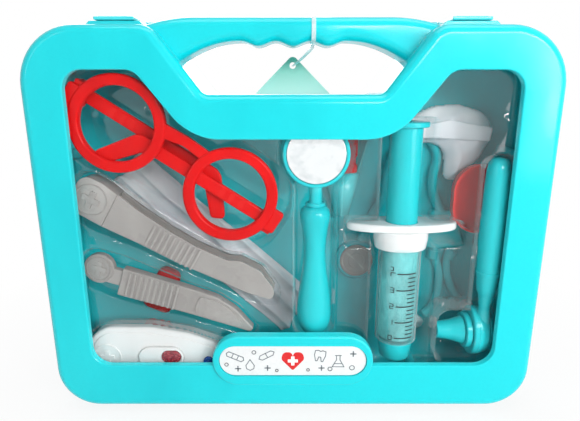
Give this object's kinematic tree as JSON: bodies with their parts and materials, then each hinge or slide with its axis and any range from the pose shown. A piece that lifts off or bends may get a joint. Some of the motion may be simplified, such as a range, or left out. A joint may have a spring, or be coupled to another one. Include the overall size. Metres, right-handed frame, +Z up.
{
  "type": "toy doctor case",
  "caption": "Hinged carrying case with a moulded grip handle, latches and a clear window over a tray of play medical instruments.",
  "frame": {"origin": "middle of the case's footprint on the floor, midway between its front and rear faces", "axes": "+Z up, +X to the right as seen from the front, and the window side faces -Y"},
  "size_m": [0.275, 0.0568, 0.2219],
  "materials": {
    "turquoise_plastic": "glossy moulded",
    "red_plastic": "glossy moulded",
    "grey_plastic": "satin moulded",
    "white_plastic": "satin moulded",
    "blue_plastic": "glossy moulded",
    "clear_plastic": "clear, thin",
    "frosted_plastic": "clear, slightly frosted",
    "soft_turquoise": "soft seal",
    "mirror_foil": "silvered",
    "steel_wire": "plain",
    "white_cloth": "thin woven",
    "printed_paper": "printed sticker",
    "card": "printed card"
  },
  "bodies": {
    "rear": {"rear_shell": "turquoise_plastic", "hinge_pin_left": "steel_wire", "hinge_pin_right": "steel_wire", "latch_pin_left": "steel_wire", "latch_pin_right": "steel_wire", "blister_tray": "clear_plastic", "glasses_frame": "red_plastic", "glasses_pin_left": "steel_wire", "glasses_pin_right": "steel_wire", "tweezers_heel": "grey_plastic", "scalpel": "grey_plastic", "thermometer_body": "white_plastic", "thermometer_back": "white_plastic", "thermometer_pad": "white_plastic", "thermometer_gem": "red_plastic", "mirror_handle": "turquoise_plastic", "mirror_disc": "mirror_foil", "syringe_barrel": "frosted_plastic", "syringe_collar": "white_plastic", "syringe_tip_cap": "turquoise_plastic", "otoscope_handle": "turquoise_plastic", "otoscope_ring": "turquoise_plastic", "otoscope_cone": "turquoise_plastic", "nose_scope_funnel": "turquoise_plastic", "nose_scope_core": "red_plastic", "stethoscope_chest_piece": "turquoise_plastic", "stethoscope_diaphragm": "grey_plastic", "stethoscope_tubes": "turquoise_plastic", "stethoscope_ear_tip_left": "white_plastic", "stethoscope_ear_tip_right": "white_plastic", "nurse_cap": "white_cloth", "kidney_dish": "red_plastic", "hammer_head": "red_plastic", "hammer_handle": "turquoise_plastic", "folded_cloth": "white_cloth", "hang_tag": "card", "tag_strap": "clear_plastic"},
    "cover": {"front_cover": "turquoise_plastic", "window_pane": "clear_plastic", "plaque_label": "printed_paper"},
    "latch_left": {"latch_left": "turquoise_plastic"},
    "latch_right": {"latch_right": "turquoise_plastic"},
    "plunger": {"syringe_plunger": "turquoise_plastic", "syringe_piston": "soft_turquoise"},
    "button": {"thermometer_button": "blue_plastic"},
    "tweezers_front": {"tweezers_arm_front": "grey_plastic"},
    "tweezers_back": {"tweezers_arm_back": "grey_plastic"},
    "temple_left": {"glasses_temple_left": "red_plastic"},
    "temple_right": {"glasses_temple_right": "red_plastic"}
  },
  "joints": [
    {"name": "cover_hinge", "type": "hinge", "parent": "rear", "child": "cover", "pos_m": [0, -0.00285, 0.0028], "axis": [1, 0, 0], "range_deg": [0, 150]},
    {"name": "latch_left_hinge", "type": "hinge", "parent": "rear", "child": "latch_left", "pos_m": [-0.08925, 0.0073, 0.2186], "axis": [-1, 0, 0], "range_deg": [0, 110]},
    {"name": "latch_right_hinge", "type": "hinge", "parent": "rear", "child": "latch_right", "pos_m": [0.08925, 0.0073, 0.2186], "axis": [-1, 0, 0], "range_deg": [0, 110]},
    {"name": "plunger_slide", "type": "slide", "parent": "rear", "child": "plunger", "axis": [0, 0, -1], "range_m": [0, 0.035]},
    {"name": "thermometer_button_press", "type": "slide", "parent": "rear", "child": "button", "axis": [0, 1, 0], "range_m": [0, 0.0008], "stiffness_N_per_m": 300, "springref_m": -0.0005},
    {"name": "tweezers_front_squeeze", "type": "hinge", "parent": "rear", "child": "tweezers_front", "pos_m": [-0.10018, -0.0185, 0.12106], "axis": [0.5045, 0, 0.8634], "range_deg": [0, 1.8], "stiffness_Nm_per_rad": 4},
    {"name": "tweezers_back_squeeze", "type": "hinge", "parent": "rear", "child": "tweezers_back", "pos_m": [-0.10018, -0.0089, 0.12106], "axis": [-0.5045, 0, -0.8634], "range_deg": [0, 1.8], "stiffness_Nm_per_rad": 4},
    {"name": "glasses_temple_left_fold", "type": "hinge", "parent": "rear", "child": "temple_left", "pos_m": [-0.11363, -0.0082, 0.1815], "axis": [0.5446, 0, 0.8387], "range_deg": [0, 2.5]},
    {"name": "glasses_temple_right_fold", "type": "hinge", "parent": "rear", "child": "temple_right", "pos_m": [-0.01232, -0.0137, 0.11571], "axis": [-0.5446, 0, -0.8387], "range_deg": [0, 1.2]}
  ],
  "couplings": [
    {"joint": "tweezers_back_squeeze", "follows": "tweezers_front_squeeze", "ratio": 1}
  ]
}
